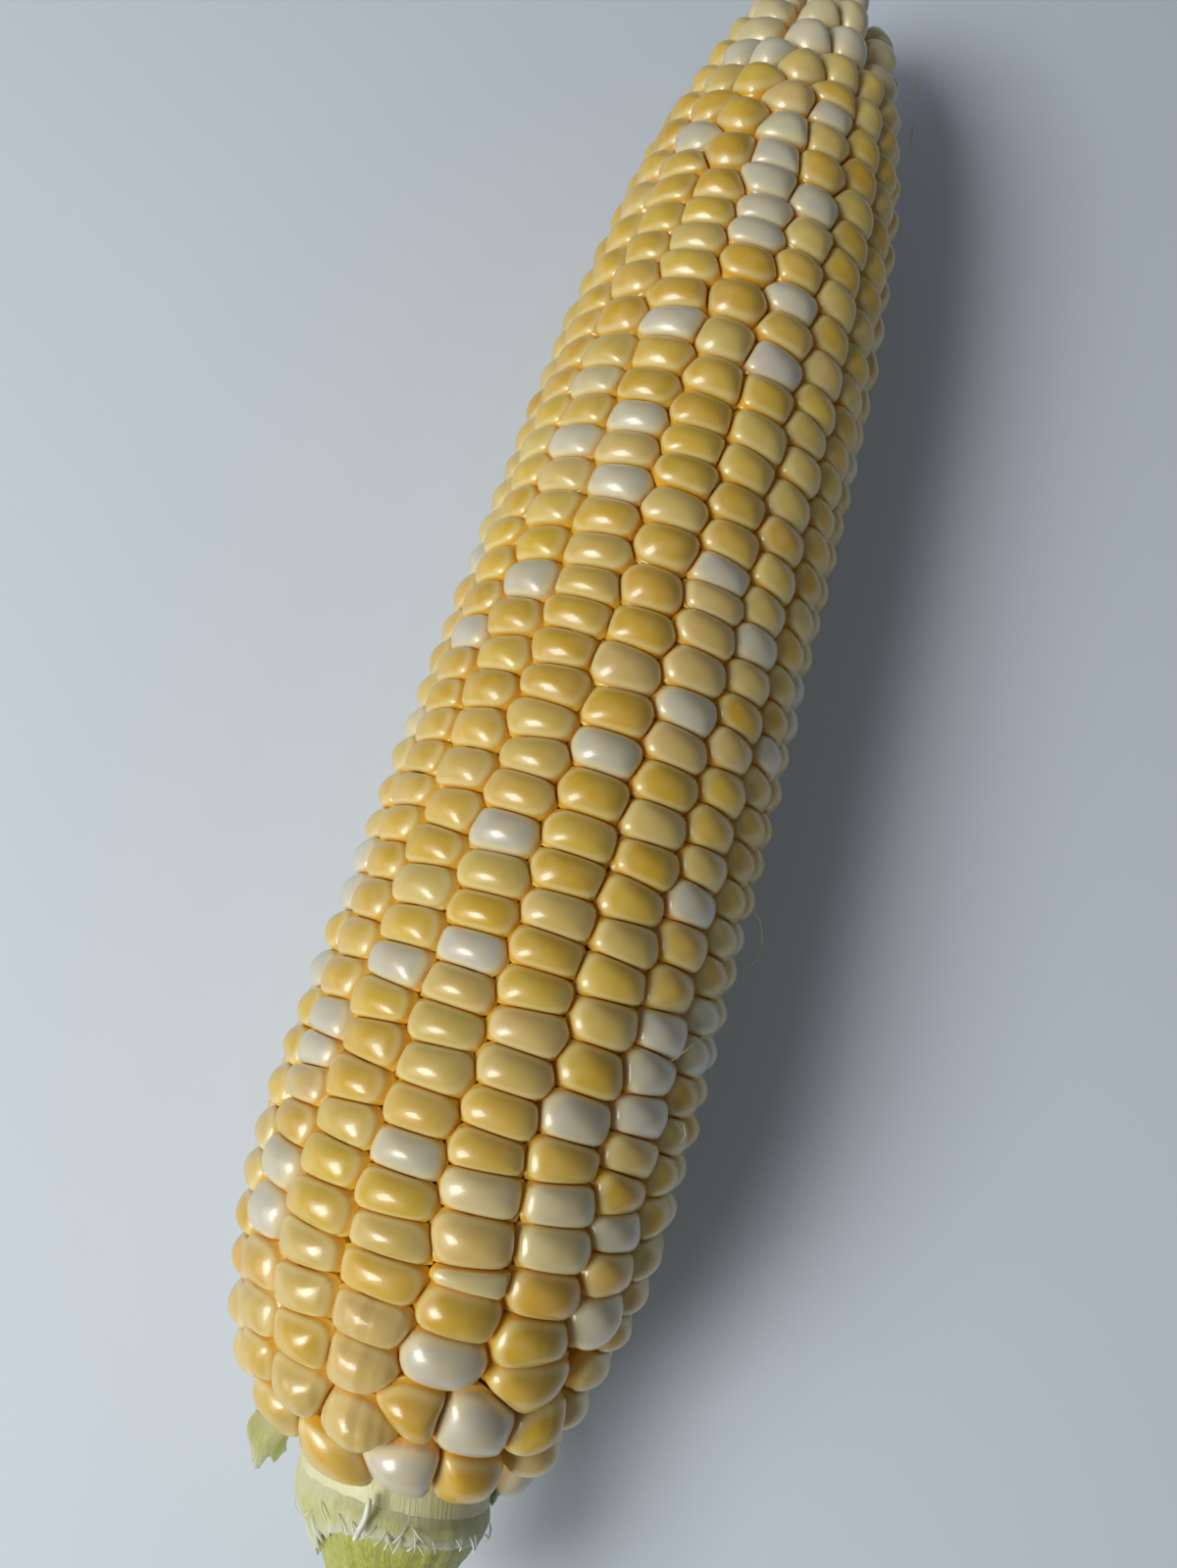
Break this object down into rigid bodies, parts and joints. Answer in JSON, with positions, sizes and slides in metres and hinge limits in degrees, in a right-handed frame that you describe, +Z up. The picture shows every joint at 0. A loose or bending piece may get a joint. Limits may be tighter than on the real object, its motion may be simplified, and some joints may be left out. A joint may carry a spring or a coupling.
{
  "type": "corn cob",
  "caption": "Husked ear of bicolour sweetcorn lying on its side, with long rows of plump yellow and white kernels, a torn husk collar and a short stalk stub.",
  "frame": {"origin": "on the surface that the ear lies on, under the middle of its bounding box", "axes": "+X along the ear from the stalk to the tip, +Z up from the surface it lies on"},
  "size_m": [0.2176, 0.0468, 0.0467],
  "materials": {
    "kernels": "gloss",
    "cob": "satin",
    "husk": "satin",
    "silk": "satin"
  },
  "bodies": {
    "root": {"cob": "cob", "kernel_row_01": "kernels", "kernel_row_02": "kernels", "kernel_row_03": "kernels", "kernel_row_04": "kernels", "kernel_row_05": "kernels", "kernel_row_06": "kernels", "kernel_row_07": "kernels", "kernel_row_08": "kernels", "kernel_row_09": "kernels", "kernel_row_10": "kernels", "kernel_row_11": "kernels", "kernel_row_12": "kernels", "kernel_row_13": "kernels", "kernel_row_14": "kernels", "kernel_row_15": "kernels", "kernel_row_16": "kernels", "kernel_row_17": "kernels", "kernel_row_18": "kernels", "husk_collar": "husk", "husk_shred_left": "husk", "husk_shred_right": "husk", "silk_strand_1": "silk", "silk_strand_2": "silk", "silk_strand_3": "silk", "silk_strand_4": "silk", "silk_strand_5": "silk", "silk_strand_6": "silk"}
  },
  "joints": []
}
